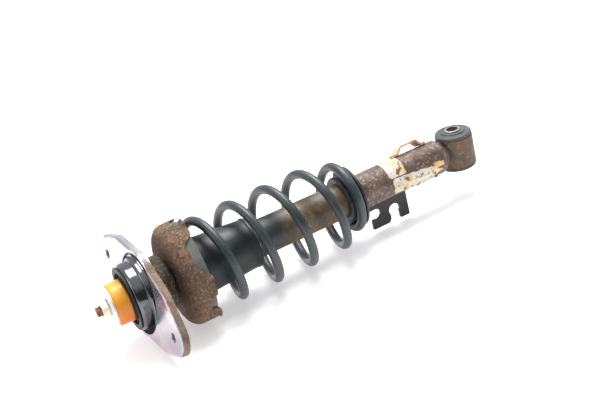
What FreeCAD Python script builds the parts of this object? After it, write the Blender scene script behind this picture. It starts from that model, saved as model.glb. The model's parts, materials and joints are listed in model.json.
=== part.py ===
"""Rear suspension strut: a gas damper inside a coil spring, with a bolted top mount and a bushed lower eye.

The strut lies level. +X runs along the piston rod from the top mount to the lower eye, +Z is up, and the
lower eye's bore is upright. The origin is where the rod's axis meets the face of the top plate that bolts to
the car. Every length is in millimetres. Stations along the rod are counted from the foot of the mount's can,
and save() moves them all to the origin. Each sub-part is written to its own STEP file in parts/.
"""
import FreeCAD, Part
import math
import os

os.makedirs("parts", exist_ok=True)

# ---- driving dimensions --------------------------------------------------------------------------------
FACE_TO_FOOT = 8.0         # from the plate's face, on the axis, to the foot of the can
FIT = 0.05                 # radial gap of a running or push fit
SEAM = 0.1                 # gap between pieces that lie against each other

ROD_R = 6.25               # piston rod
STEM_R = 6.0               # threaded top end of the rod
PISTON_STEM_R = 4.5
ROD_TIP = -54.5            # outermost end of the rod
ROD_SHOULDER = 34.0        # where the stem ends and the full rod starts
HEX_FLATS, HEX_LENGTH = 10.0, 4.5     # drive hexagon on the rod's tip
THREAD_PITCH, THREAD_DEPTH, THREAD_TURNS = 1.25, 0.5, 12

NUT_FLATS = 18.0
NUT_START, NUT_END = -49.5, -42.0
WASHER_R, WASHER_SHEET = 21.8, 2.0    # dished washer under the nut
CORE_R = 9.0               # steel sleeve through the top mount
CORE_START = -39.7
BUSH_R = 23.0              # polyurethane bush above the mount
BUSH_START, BUSH_END = -38.0, -22.0

CAN_R = 35.0               # steel can round the mount's rubber, middle of its sheet
CAN_MOUTH_R, CAN_FLANGE_R = 27.5, 41.0
CAN_FRONT = -19.0
CAN_FOOT_R, CAN_STEP = 37.5, -6.0        # wider foot of the can and where it starts
CAN_SHEET = 2.0

PLATE_SHEET = 3.5          # top plate, a shallow tray that leans on the strut's axis
PLATE_DEPTH = 8.0
PLATE_EDGE_R = 3.0
PLATE_EDGE = 3.0           # thickness of the turned-back edge
PLATE_FACE = -FACE_TO_FOOT
PLATE_LEAN_Z = 0.175       # how far the face runs back for each millimetre up
PLATE_LEAN_Y = -0.06       # and for each millimetre to +Y
PLATE_WAIST_R = 45.8
EAR_REACH = 80.0           # bolt hole to rod axis, along the plate
EAR_END_R = 20.5
SHOULDER_REACH, SHOULDER_R = 45.0, 37.5    # the round that fills out the outline between waist and ear
EAR_ANGLE = 13.5           # the long axis of the plate, turned from +Y towards +Z
BOLT_HOLE_R = 5.25
POCKET_R, POCKET_SHEET = 43.0, 2.5    # round pocket in the tray that takes the can's flange
POCKET_MOUTH_R = 34.3

NECK_R = 29.0              # cup under the plate
NECK_FLANGE_R, NECK_HOLE_R = 39.0, 12.5
NECK_END = 23.5
NECK_SHEET = 2.0

SEAT_R = 54.5              # upper spring seat, middle of its sheet
SEAT_SHEET = 2.5
SEAT_BACK, SEAT_RIM = 30.0, 56.0
SEAT_BEND = 11.0
NOTCH_DEPTH = 9.0          # three wide notches and three narrow slots in the rim, each slot with a lip
NOTCH_ANGLE, NOTCH_WIDTH = 141.0, 34.0
SLOT_ANGLE, SLOT_WIDTH = 200.0, 18.0
LIP_ANGLE, LIP_WIDTH, LIP_REACH = 218.0, 13.0, 4.0
PAD_INNER_R, PAD_LENGTH = 36.0, 23.0
PAD_FLOOR, PAD_WALL = 1.7, 1.2

WIRE_R = 5.1               # coil spring
COIL_R = 46.5
COIL_PITCH = 42.7
COIL_START_X = 70.0        # where the first open coil passes the angle below
COIL_START_ANGLE = 62.0
CLOSED_PITCH = 10.4        # pitch of the first coil, which lies against the next
FOOT_PITCH = 5.0           # pitch of the last coil, which lies on the lower pad
FIRST_OPEN, LAST_OPEN = -0.5, 3.97    # turns between which the coil is open
FIRST_TURN, LAST_TURN = -1.5, 4.67
FIRST_COIL_R, LAST_COIL_R = 44.3, 33.0

TUBE_R = 19.9              # damper tube
TUBE_WALL = 1.7
TUBE_TOP, TUBE_END = 111.0, 362.0
BEAD_START, BEAD_R = 251.8, 21.4      # raised bead that carries the lower spring seat
CYLINDER_R, CYLINDER_WALL = 13.5, 1.4
PISTON_FACE = 172.0
PISTON_LENGTH, PISTON_GAP = 16.0, 0.3
SHIM_R, SHIM_STACK = 9.5, 2.8

LOWER_SEAT_R, LOWER_SEAT_SHEET = 35.0, 1.8
LOWER_PAD_FACE, LOWER_PAD_SHEET = 248.35, 1.5
COLLAR_R, COLLAR_LENGTH = 27.4, 14.0        # the pad's collar, which centres the last coil

DUST_R_TOP, DUST_R_END, DUST_WALL = 33.0, 27.0, 2.0
DUST_START, DUST_END = 33.0, 123.0

STOP_START, STOP_END = 34.05, 74.0    # foam bump stop and the cup that holds it
STOP_BORE = 6.75
CUP_R, CUP_SHEET, CUP_DEPTH = 22.0, 1.6, 13.0

BRACKET_SHEET = 3.0        # hose bracket: a keyhole for a hose and a hooked slot for a cable
BRACKET_TIP = 51.0
HOSE_X, HOSE_DEPTH, HOSE_R = 299.0, 37.6, 7.0
CABLE_X, CABLE_DEPTH, CABLE_R = 274.5, 33.4, 6.2

CLIP_START, CLIP_END, CLIP_SHEET = 315.0, 357.0, 2.4
CLIP_WIDTH, CLIP_PEAK_R, CLIP_TURN = 16.0, 28.0, -25.0

EYE_X = 394.0              # lower eye
EYE_R, EYE_BORE_R = 21.5, 17.2
EYE_HALF = 17.5
SLEEVE_R, SLEEVE_BORE_R = 9.0, 6.75
SLEEVE_HALF = 24.5

ORIGIN = FreeCAD.Vector(0, 0, 0)
X_AXIS = FreeCAD.Vector(1, 0, 0)
Y_AXIS = FreeCAD.Vector(0, 1, 0)
Z_AXIS = FreeCAD.Vector(0, 0, 1)


# ---- tools ---------------------------------------------------------------------------------------------
def save(name, *solids):
    """Write one node, a single solid or a group of separate ones, with the origin in the plate's face."""
    shape = solids[0] if len(solids) == 1 else Part.makeCompound(list(solids))
    shape.translate(X_AXIS * FACE_TO_FOOT)
    shape.exportStep("parts/" + name + ".step")


def polar(x, radius, degrees):
    """The point at a radius and angle about the strut's axis, the angle from +Y towards +Z."""
    turn = math.radians(degrees)
    return FreeCAD.Vector(x, radius * math.cos(turn), radius * math.sin(turn))


def rounded_outline(corners):
    """A closed face in the XZ plane from (x, z, radius) corners, each rounded by its own radius."""
    edges, ends = [], []
    count = len(corners)
    for i, (x, z, radius) in enumerate(corners):
        here = FreeCAD.Vector(x, 0, z)
        before = FreeCAD.Vector(corners[i - 1][0], 0, corners[i - 1][1])
        after = FreeCAD.Vector(corners[(i + 1) % count][0], 0, corners[(i + 1) % count][1])
        back = (before - here).normalize()
        on = (after - here).normalize()
        if radius <= 0:
            ends.append((here, here))
            continue
        half = back.getAngle(on) / 2
        reach = radius / math.tan(half)
        middle = (back + on).normalize()
        centre = here + middle * (radius / math.sin(half))
        first, last = here + back * reach, here + on * reach
        edges.append(Part.Arc(first, centre - middle * radius, last).toShape())
        ends.append((first, last))
    for i in range(count):
        start, stop = ends[i][1], ends[(i + 1) % count][0]
        if start.distanceToPoint(stop) > 1e-6:
            edges.append(Part.makeLine(start, stop))
    return Part.Face(Part.Wire(Part.__sortEdges__(edges)))


def with_rounding(corners):
    """Corners that name no rounding get none."""
    return [corner if len(corner) == 3 else (corner[0], corner[1], 0) for corner in corners]


def turned(corners):
    """A solid of revolution about the strut's axis from (x, r) or (x, r, rounding) corners."""
    return rounded_outline(with_rounding(corners)).revolve(ORIGIN, X_AXIS, 360)


def upright(corners):
    """A solid of revolution about the lower eye's bore from (r, z) or (r, z, rounding) corners."""
    part = rounded_outline(with_rounding(corners)).revolve(ORIGIN, Z_AXIS, 360)
    part.translate(X_AXIS * EYE_X)
    return part


def ring(start, end, outer, inner, rounding=0):
    """A plain tube or disc between two stations."""
    return turned([(start, inner), (start, outer, rounding), (end, outer, rounding), (end, inner)])


def offset_corners(path, shift):
    """Corners of one side of a bent sheet: the path (x, r, bend) moved sideways by shift."""
    moved = []
    points = [FreeCAD.Vector(x, r, 0) for x, r, bend in path]
    for i, here in enumerate(points):
        ways = []
        if i > 0:
            ways.append((here - points[i - 1]).normalize())
        if i < len(points) - 1:
            ways.append((points[i + 1] - here).normalize())
        sides = [FreeCAD.Vector(-way.y, way.x, 0) for way in ways]
        if len(ways) == 1:
            point = here + sides[0] * shift
            bend = 0
        else:
            point = here + (sides[0] + sides[1]) * (shift / (1 + sides[0].dot(sides[1])))
            turn = ways[0].cross(ways[1]).z
            bend = max(path[i][2] - math.copysign(1, turn) * shift, 0)
        moved.append((point.x, point.y, bend))
    return moved


def pressed(path, sheet):
    """Closed corners of pressed sheet metal that follows (x, r, bend) along the middle of its thickness."""
    return offset_corners(path, sheet / 2) + offset_corners(path, -sheet / 2)[::-1]


def hexagon(start, end, flats, bore):
    """A hexagonal nut or drive end about the strut's axis, its corners chamfered."""
    corners = [polar(start, flats / math.sqrt(3), 30 + 60 * i) for i in range(7)]
    solid = Part.Face(Part.makePolygon(corners)).extrude(X_AXIS * (end - start))
    low, high = flats * 0.47, flats * 0.58
    solid = solid.common(turned([(start, 0), (start, low), (start + 1, high), (end - 1, high), (end, low), (end, 0)]))
    return solid.cut(ring(start - 1, end + 1, bore, 0)) if bore else solid


def sector(start, end, inner, outer, centre_deg, width_deg):
    """A block of a ring between two radii and two angles."""
    face = Part.makePlane(end - start, outer - inner, FreeCAD.Vector(start, 0, inner), -Y_AXIS, X_AXIS)
    block = face.revolve(ORIGIN, X_AXIS, width_deg)
    middle = block.BoundBox.Center
    block.rotate(ORIGIN, X_AXIS, centre_deg - math.degrees(math.atan2(middle.z, middle.y)))
    return block


# ---- piston rod and what is fixed on it ----------------------------------------------------------------
def piston_rod():
    """Ground rod with a threaded stem at the top, a drive hexagon on its tip and a stem for the piston."""
    hex_end = ROD_TIP + HEX_LENGTH
    piston_stem_end = PISTON_FACE + PISTON_LENGTH + 14
    profile = [(hex_end, 0), (hex_end, STEM_R - 1.2)]
    for i in range(THREAD_TURNS):
        station = NUT_START - 0.3 + THREAD_PITCH * i
        profile += [(station, STEM_R - THREAD_DEPTH), (station + THREAD_PITCH / 2, STEM_R)]
    profile += [(ROD_SHOULDER, STEM_R), (ROD_SHOULDER, ROD_R, 0.5), (PISTON_FACE, ROD_R),
                (PISTON_FACE, PISTON_STEM_R), (piston_stem_end, PISTON_STEM_R), (piston_stem_end, 0)]
    return turned(profile).fuse(hexagon(ROD_TIP, hex_end + 0.5, HEX_FLATS, 0)).removeSplitter()


def piston(start, end):
    """Sintered piston with a groove for its band and six oil passages."""
    outer, bore = CYLINDER_R - PISTON_GAP, PISTON_STEM_R + FIT
    groove = outer - 1.4
    body = turned([(start, bore), (start, outer - 1), (start + 1, outer), (start + 3, outer), (start + 3, groove),
                   (end - 3, groove), (end - 3, outer), (end - 1, outer), (end, outer - 1), (end, bore)])
    for i in range(6):
        body = body.cut(Part.makeCylinder(1.4, end - start + 2, polar(start - 1, 8.5, 60 * i), X_AXIS))
    return body


def piston_set():
    """Every piece carried by the rod inside the damper."""
    start = PISTON_FACE + SHIM_STACK + 2 * SEAM
    end = start + PISTON_LENGTH
    bore = PISTON_STEM_R + FIT
    save("piston_rod", piston_rod())
    save("piston", piston(start, end))
    save("piston_band", ring(start + 3 + SEAM, end - 3 - SEAM, CYLINDER_R - FIT, CYLINDER_R - PISTON_GAP - 1.35))
    save("valve_shims", ring(PISTON_FACE + SEAM, start - SEAM, SHIM_R, bore),
         ring(end + SEAM, end + SHIM_STACK, SHIM_R, bore))
    save("piston_nut", hexagon(end + SHIM_STACK + SEAM, end + SHIM_STACK + 6.5, 14.0, bore))
    stop = PISTON_FACE - 30
    save("rebound_stop", turned([(stop, ROD_R + FIT), (stop, 11, 1), (stop + 8, 11, 1), (stop + 10, 8),
                                 (stop + 10, ROD_R + FIT)]))


# ---- clamped on top of the rod --------------------------------------------------------------------------
def top_stack():
    """The nut, washers, orange bush and steel core that the rod's nut clamps."""
    save("rod_nut", hexagon(NUT_START, NUT_END, NUT_FLATS, STEM_R + FIT))
    dish = [(-40.8, STEM_R + FIT, 0), (-40.8, 13.0, 3.0), (-39.3, WASHER_R, 0)]
    save("top_washer", turned(pressed(dish, WASHER_SHEET)))
    bore = CORE_R + FIT
    save("upper_bush", turned([(BUSH_START, bore), (BUSH_START, BUSH_R - 0.6, 2.0), (BUSH_END, BUSH_R, 1.5),
                               (BUSH_END, bore)]))
    save("support_washer", ring(BUSH_END + 0.2, BUSH_END + 2.5, BUSH_R + 0.3, bore, 0.8))
    save("mount_core", ring(CORE_START, ROD_SHOULDER - SEAM, CORE_R, STEM_R + FIT))


# ---- top mount -------------------------------------------------------------------------------------------
def ear_outline(inset, x):
    """The plate's outline: a round waist, two shoulders and two ears, joined by their common tangents."""
    waist, shoulder, end_r = PLATE_WAIST_R - inset, SHOULDER_R - inset, EAR_END_R - inset
    near = 90 - math.degrees(math.asin((waist - shoulder) / SHOULDER_REACH))
    far = 90 - math.degrees(math.asin((shoulder - end_r) / (EAR_REACH - SHOULDER_REACH)))
    middle = (near + far) / 2
    stretches = [(SHOULDER_REACH, shoulder, (-near, -middle, -far)), (EAR_REACH, end_r, (-far, 0, far)),
                 (SHOULDER_REACH, shoulder, (far, middle, near)), (0, waist, (near, 90, 180 - near))]
    arcs = []
    for turn in (EAR_ANGLE, EAR_ANGLE + 180):
        for reach, radius, angles in stretches:
            arcs.append([polar(x, radius, turn + a) + polar(0, reach, turn) for a in angles])
    edges = []
    for arc, following in zip(arcs, arcs[1:] + arcs[:1]):
        edges.append(Part.Arc(*arc).toShape())
        edges.append(Part.makeLine(arc[2], following[0]))
    return Part.Face(Part.Wire(edges))


def leaned(solid):
    """Carry a solid from the plate's own frame, face at x = 0, to where it leans on the strut's axis."""
    normal = FreeCAD.Vector(1, -PLATE_LEAN_Y, -PLATE_LEAN_Z)
    solid.Placement = FreeCAD.Placement(X_AXIS * PLATE_FACE, FreeCAD.Rotation(X_AXIS, normal))
    return solid


def top_plate():
    """Pressed tray with two bolt ears, a turned-back edge and a round pocket square to the strut."""
    outer = ear_outline(0, 0).extrude(X_AXIS * PLATE_DEPTH)
    front = [edge for edge in outer.Edges if edge.BoundBox.XMax < 0.01]
    outer = outer.makeFillet(PLATE_EDGE_R, front)
    tray = outer.cut(ear_outline(PLATE_EDGE, PLATE_SHEET).extrude(X_AXIS * PLATE_DEPTH))
    for side in (0, 180):
        centre = polar(-1, EAR_REACH, EAR_ANGLE + side)
        tray = tray.cut(Part.makeCylinder(BOLT_HOLE_R, 20, centre, X_AXIS))
    tray = leaned(tray).cut(ring(-30, PLATE_SHEET, POCKET_R, 0))
    behind = leaned(Part.makeBox(60, 240, 240, FreeCAD.Vector(0, -120, -120)))
    outside = POCKET_R + POCKET_SHEET
    wall = ring(-30, PLATE_SHEET, outside, POCKET_R - 0.01).common(behind)
    floor = ring(0, PLATE_SHEET, outside, POCKET_MOUTH_R)
    return tray.fuse([wall, floor]).removeSplitter()


def top_mount():
    """The bolted plate with its can, cup and rubber."""
    foot = -CAN_SHEET / 2 - SEAM / 2
    can = [(CAN_FRONT, CAN_MOUTH_R, 0), (CAN_FRONT, CAN_R, 3.0), (CAN_STEP - 1, CAN_R, 1.5),
           (CAN_STEP, CAN_FOOT_R, 1.5), (foot, CAN_FOOT_R, 1.5), (foot, CAN_FLANGE_R, 0)]
    save("mount_can", turned(pressed(can, CAN_SHEET)))
    save("face_seal", ring(CAN_FRONT - 2.6, CAN_FRONT - 1.1, CAN_R - 0.5, CAN_MOUTH_R + 1, 0.5))
    save("top_plate", top_plate())
    flange = PLATE_SHEET + NECK_SHEET / 2 + SEAM
    cup = [(flange, NECK_FLANGE_R, 0), (flange, NECK_R, 3.5), (NECK_END, NECK_R, 3.5), (NECK_END, NECK_HOLE_R, 0)]
    save("neck_cup", turned(pressed(cup, NECK_SHEET)))
    in_can, in_neck = CAN_R - 1.3, NECK_R - 1.6
    near, far = CAN_FRONT + 1.3, NECK_END - 1.3
    bore = CORE_R + FIT
    save("mount_rubber", turned([(near, bore), (near, in_can, 3.5), (-1, in_can), (2, in_neck),
                                 (far, in_neck, 3.5), (far, bore)]))


# ---- upper spring seat and what it holds -----------------------------------------------------------------
def upper_seat():
    """Pressed cup with a notched rim: three wide notches, three narrow slots and three turned-out lips."""
    path = [(SEAT_BACK, CORE_R + 1.2, 0), (SEAT_BACK, SEAT_R, SEAT_BEND), (SEAT_RIM, SEAT_R, 0)]
    seat = turned(pressed(path, SEAT_SHEET))
    inner, outer = SEAT_R - 10, SEAT_R + 10
    for i in range(3):
        turn = 120 * i
        lip = sector(SEAT_RIM - SEAT_SHEET, SEAT_RIM, SEAT_R, SEAT_R + LIP_REACH, LIP_ANGLE + turn, LIP_WIDTH)
        seat = seat.fuse(lip)
        cut_from, cut_to = SEAT_RIM - NOTCH_DEPTH, SEAT_RIM + 5
        seat = seat.cut(sector(cut_from, cut_to, inner, outer, NOTCH_ANGLE + turn, NOTCH_WIDTH))
        seat = seat.cut(sector(cut_from, cut_to, inner, outer, SLOT_ANGLE + turn, SLOT_WIDTH))
    return seat


def upper_pad():
    """Rubber pad that lines the seat under the spring."""
    start = SEAT_BACK + SEAT_SHEET / 2 + SEAM
    wall = SEAT_R - SEAT_SHEET / 2 - 0.15
    end = start + PAD_LENGTH
    return turned([(start, PAD_INNER_R), (start, wall, SEAT_BEND - 1.4), (end, wall), (end, wall - PAD_WALL),
                   (start + PAD_FLOOR, wall - PAD_WALL, SEAT_BEND - 3.0), (start + PAD_FLOOR, PAD_INNER_R)])


def bump_stop():
    """Foam stop with two waists, slipped over the rod."""
    start, end, bore = STOP_START, STOP_END, STOP_BORE
    return turned([(start, bore), (start, 20.5, 2), (start + 14, 20.5, 2), (start + 17, 16, 1.5), (start + 20, 19, 2),
                   (start + 26, 19, 2), (start + 29, 14, 1.5), (start + 32, 16, 2), (end, 14, 3), (end, bore)])


def dust_tube():
    """Plastic tube over the rod, flanged at the seat and with a thick bead at its open end."""
    start, end = DUST_START, DUST_END
    return turned([(start, DUST_R_TOP - DUST_WALL), (start, DUST_R_TOP + 2), (start + 4, DUST_R_TOP + 2, 1),
                   (start + 4, DUST_R_TOP, 1), (end - 4, DUST_R_END + 0.2, 1), (end - 3, DUST_R_END + 1, 0.8),
                   (end, DUST_R_END + 1, 0.8), (end, DUST_R_END - DUST_WALL)])


def upper_set():
    """The seat, its rubber pad, the bump stop with its cup, and the dust tube."""
    save("upper_spring_seat", upper_seat())
    save("upper_spring_pad", upper_pad())
    floor = STOP_START - FIT - CUP_SHEET / 2
    cup = [(floor, CORE_R + 1, 0), (floor, CUP_R, 2.0), (floor + CUP_DEPTH, CUP_R, 0)]
    save("bump_stop_cup", turned(pressed(cup, CUP_SHEET)))
    save("bump_stop", bump_stop())
    save("dust_tube", dust_tube())


# ---- coil spring ------------------------------------------------------------------------------------------
def ease(t):
    """0 to 1 with level ends."""
    t = min(max(t, 0.0), 1.0)
    return t * t * (3 - 2 * t)


def coil_point(degrees):
    """The wire's centre: open coils in the middle, a closed coil at each end, both drawn in."""
    turns = degrees / 360.0
    open_turns = min(max(turns, FIRST_OPEN), LAST_OPEN)
    x = COIL_START_X + COIL_PITCH * open_turns
    x += CLOSED_PITCH * min(turns - FIRST_OPEN, 0) + FOOT_PITCH * max(turns - LAST_OPEN, 0)
    radius = COIL_R - (COIL_R - FIRST_COIL_R) * ease((0.1 - turns) / 0.6)
    radius -= (COIL_R - LAST_COIL_R) * ease((turns - 3.2) / 1.5)
    return polar(x, radius, COIL_START_ANGLE + degrees)


def coil_spring():
    """Round wire swept along the coil."""
    angles = range(round(360 * FIRST_TURN), round(360 * LAST_TURN) + 1, 20)
    points = [coil_point(angle) for angle in angles]
    curve = Part.BSplineCurve()
    curve.interpolate(points)
    spine = Part.Wire(curve.toShape())
    start = curve.tangent(curve.FirstParameter)[0]
    section = Part.Wire(Part.makeCircle(WIRE_R, points[0], start))
    return spine.makePipeShell([section], True, True)


# ---- damper body ------------------------------------------------------------------------------------------
def outer_tube():
    """Damper tube with a raised bead under the lower spring seat."""
    start, end, inner = TUBE_TOP + 3, TUBE_END, TUBE_R - TUBE_WALL
    return turned([(start, inner), (start, TUBE_R), (BEAD_START, TUBE_R), (BEAD_START, BEAD_R, 0.8),
                   (BEAD_START + 3, BEAD_R, 0.8), (BEAD_START + 5, TUBE_R), (end, TUBE_R), (end, inner)])


def base_valve():
    """Valve that closes the pressure cylinder, with four oil passages."""
    face = TUBE_END - 12
    valve = turned([(face - 8, 0), (face - 8, CYLINDER_R - FIT), (face + SEAM, CYLINDER_R - FIT),
                    (face + SEAM, CYLINDER_R + 4, 1), (TUBE_END - 4, CYLINDER_R + 4, 1), (TUBE_END - 4, 0)])
    for i in range(4):
        valve = valve.cut(Part.makeCylinder(1.6, 20, polar(face - 10, 8, 45 + 90 * i), X_AXIS))
    return valve


def tube_end_cap():
    """Domed cap plugged into the tube and hollowed to fit the eye's barrel."""
    plug = TUBE_R - TUBE_WALL - FIT
    dome = TUBE_END + SEAM
    cap = turned([(TUBE_END - 3.9, 0), (TUBE_END - 3.9, plug), (dome, plug), (dome, TUBE_R, 0.4),
                  (TUBE_END + 5, TUBE_R, 4.5), (TUBE_END + 17, 12.5, 2), (TUBE_END + 17, 0)])
    return cap.cut(Part.makeCylinder(EYE_R + 0.02, 80, FreeCAD.Vector(EYE_X, 0, -40), Z_AXIS))


def damper_tubes():
    """The outer tube, its end pieces and the cylinder inside."""
    save("outer_tube", outer_tube())
    cap_r, lid, bore = TUBE_R + 1.1, TUBE_TOP + 1, ROD_R + FIT
    save("tube_cap", turned(pressed([(lid, ROD_R + 1.5, 0), (lid, cap_r, 2.0), (TUBE_TOP + 14, cap_r, 0)], 1.9)))
    seal, guide = TUBE_TOP + 3, TUBE_TOP + 8.1
    skin = TUBE_R - TUBE_WALL - FIT
    save("oil_seal", turned([(seal, ROD_R + 0.6), (seal, skin), (seal + 5, skin), (seal + 5, bore), (seal + 3, bore)]))
    save("rod_guide", turned([(guide, bore), (guide, skin), (guide + 10, skin), (guide + 10, CYLINDER_R - FIT),
                              (guide + 18, CYLINDER_R - FIT), (guide + 18, bore)]))
    save("inner_cylinder", ring(guide + 10 + SEAM, TUBE_END - 12, CYLINDER_R + CYLINDER_WALL, CYLINDER_R))
    save("base_valve", base_valve())
    save("tube_end_cap", tube_end_cap())


def lower_seat():
    """Lower spring seat, resting on the tube's bead, and its rubber pad with a collar."""
    back = LOWER_PAD_FACE + LOWER_PAD_SHEET
    bore = TUBE_R + FIT
    rim, front = LOWER_SEAT_R + 0.6, LOWER_PAD_FACE - COLLAR_LENGTH
    save("lower_spring_pad", turned([(front, bore), (front, COLLAR_R, 2.0), (LOWER_PAD_FACE, COLLAR_R),
                                     (LOWER_PAD_FACE, rim, 0.6), (back, rim, 0.6), (back, bore)]))
    save("lower_spring_seat", ring(back + SEAM, back + SEAM + LOWER_SEAT_SHEET, LOWER_SEAT_R, bore, 0.7))


def across(x, depth, radius):
    """A round cutter through the bracket."""
    return Part.makeCylinder(radius, 20, FreeCAD.Vector(x, -10, -depth), Y_AXIS)


def hose_bracket():
    """Flat bracket under the tube with a wide keyhole for a hose grommet and a hooked slot for a cable."""
    tip, mouth = BRACKET_TIP, 6.0
    corners = [(263, 18, 0), (317.5, 18, 0), (317.5, tip, 1.5), (HOSE_X + mouth, tip, 1.5), (HOSE_X + mouth, 42, 0),
               (HOSE_X - mouth, 42, 0), (HOSE_X - mouth, tip - 4, 1.0), (290, tip, 1.5), (268.5, tip, 1),
               (268.5, 39.3, 1.2), (276, 39.3, 0), (276, 27.5, 0), (263, 27.5, 1.5)]
    plate = rounded_outline([(x, -depth, rounding) for x, depth, rounding in corners])
    plate.translate(Y_AXIS * (-BRACKET_SHEET / 2))
    plate = plate.extrude(Y_AXIS * BRACKET_SHEET)
    plate = plate.cut(across(HOSE_X, HOSE_DEPTH, HOSE_R)).cut(across(CABLE_X, CABLE_DEPTH, CABLE_R))
    return plate.cut(ring(250, 340, TUBE_R + 0.02, 0))


def line_clip():
    """A bridge-shaped strap on the far side that stands off the tube."""
    foot = TUBE_R + CLIP_SHEET / 2 + 0.2
    path = [(CLIP_START, foot, 0), (CLIP_START + 5, foot, 2.5), (CLIP_START + 10, CLIP_PEAK_R - 1, 3),
            (CLIP_END - 11, CLIP_PEAK_R, 3), (CLIP_END - 6, foot, 2.5), (CLIP_END, foot, 0)]
    face = rounded_outline(pressed(path, CLIP_SHEET))
    face.translate(Y_AXIS * (-CLIP_WIDTH / 2))
    strap = face.extrude(Y_AXIS * CLIP_WIDTH).cut(ring(CLIP_START - 15, CLIP_END + 15, TUBE_R + 0.02, 0))
    strap.rotate(ORIGIN, X_AXIS, CLIP_TURN)
    return strap


def labels():
    """Two paper labels round part of the lower tube."""
    inner, outer = TUBE_R + 0.03, TUBE_R + 0.28
    save("label_upper", sector(292, CLIP_START - 1, inner, outer, 112, 90))
    save("label_lower", sector(296, 356, inner, outer, 192, 62))


def lower_eye():
    """The barrel, its rubber bush and the steel sleeve that takes the bolt."""
    save("eye_ring", upright([(EYE_BORE_R, -EYE_HALF), (EYE_R, -EYE_HALF, 1.2), (EYE_R, EYE_HALF, 1.2),
                              (EYE_BORE_R, EYE_HALF)]))
    bore, skin, face = SLEEVE_R + FIT, EYE_BORE_R - FIT, EYE_HALF + SEAM
    side = [(skin, face), (21.3, face, 0.8), (20.8, face + 3.4, 1.8), (14.8, face + 4.0, 0.8), (13.8, face + 5.6, 0.8),
            (bore, face + 5.4)]
    lower = [(corner[0], -corner[1], *corner[2:]) for corner in side[::-1]]
    save("eye_bush", upright(side + lower))
    save("eye_sleeve", upright([(SLEEVE_BORE_R, -SLEEVE_HALF), (SLEEVE_R, -SLEEVE_HALF, 0.6),
                                (SLEEVE_R, SLEEVE_HALF, 0.6), (SLEEVE_BORE_R, SLEEVE_HALF)]))


piston_set()
top_stack()
top_mount()
upper_set()
save("coil_spring", coil_spring())
damper_tubes()
lower_seat()
save("hose_bracket", hose_bracket())
save("line_clip", line_clip())
labels()
lower_eye()
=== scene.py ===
# %% [markdown]
# # A used suspension strut
# The strut lies on a pale floor: a damper tube runs through a coil spring, a bolted mount with an orange
# bush closes the top end, and an eye with a rubber bush closes the other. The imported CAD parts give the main
# sizes. We load them first, as a fixed frame, and then dress them: some CAD parts only get a finish, and
# others are replaced by a finer surface of the same size.

# %% Load the frame
import json
import math

import bpy
import numpy as np
from mathutils import Matrix, Vector

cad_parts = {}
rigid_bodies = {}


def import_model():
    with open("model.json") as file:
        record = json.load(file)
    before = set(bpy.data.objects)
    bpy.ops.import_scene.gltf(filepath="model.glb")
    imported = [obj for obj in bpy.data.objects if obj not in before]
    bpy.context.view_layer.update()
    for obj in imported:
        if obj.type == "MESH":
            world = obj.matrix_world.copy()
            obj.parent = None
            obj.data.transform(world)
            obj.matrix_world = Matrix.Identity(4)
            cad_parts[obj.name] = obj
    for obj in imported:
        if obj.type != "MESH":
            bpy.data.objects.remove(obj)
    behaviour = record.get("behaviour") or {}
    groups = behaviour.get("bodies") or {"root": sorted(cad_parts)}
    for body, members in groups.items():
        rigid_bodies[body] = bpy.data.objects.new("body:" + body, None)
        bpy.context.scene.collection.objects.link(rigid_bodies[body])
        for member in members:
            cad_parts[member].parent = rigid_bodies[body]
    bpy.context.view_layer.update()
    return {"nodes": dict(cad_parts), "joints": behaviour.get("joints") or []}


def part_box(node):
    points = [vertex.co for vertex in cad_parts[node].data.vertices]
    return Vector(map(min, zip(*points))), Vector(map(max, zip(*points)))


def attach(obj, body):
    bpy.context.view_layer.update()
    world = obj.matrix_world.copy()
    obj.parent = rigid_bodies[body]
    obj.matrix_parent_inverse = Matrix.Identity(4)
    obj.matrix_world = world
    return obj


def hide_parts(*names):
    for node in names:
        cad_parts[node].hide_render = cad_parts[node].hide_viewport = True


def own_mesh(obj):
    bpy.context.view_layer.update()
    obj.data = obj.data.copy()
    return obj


for leftover in list(bpy.data.objects):
    bpy.data.objects.remove(leftover)
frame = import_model()
nodes = frame["nodes"]
MM = 0.001
print("CAD parts:", len(nodes))


# %% [markdown]
# ## Reading sizes off the frame
# Nearly every piece here is round about the rod's axis, which is the X axis. So a CAD part's box tells us
# where it starts, where it ends and how wide it is. Small sizes that no box gives, such as a bend, are
# named in millimetres beside the piece that uses them. A joint tells us how far it lets its body move.

# %% Where a round part starts and ends, and how far a joint goes
def span(node):
    """First station, last station and outer radius of a part that is round about the X axis."""
    low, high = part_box(node)
    return low.x, high.x, high.y


def joint_limit(name, key):
    """Upper end of a joint's range: metres for a slide, degrees for a hinge."""
    return [joint for joint in frame["joints"] if joint["name"] == name][0][key][1]


seat_start, seat_end = span("upper_spring_seat")[:2]
tube_start, tube_end, bead_r = span("outer_tube")
eye_low, eye_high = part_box("eye_ring")
eye_x = (eye_low.x + eye_high.x) / 2
TUBE_R = 19.9 * MM
TILT = math.radians(joint_limit("mount_tilt", "range_deg"))
print("seat", round(seat_start, 4), "tube", round(tube_start, 4), "eye at", round(eye_x, 4))


# %% [markdown]
# ## Surfaces from arrays
# A surface is a grid of points, worked out as whole numpy arrays and handed to Blender in one go. Every row
# closes on itself, as the outline of a ring does. The last row may also join the first, and where it does
# not, each open end gets one flat face as its lid.

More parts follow.
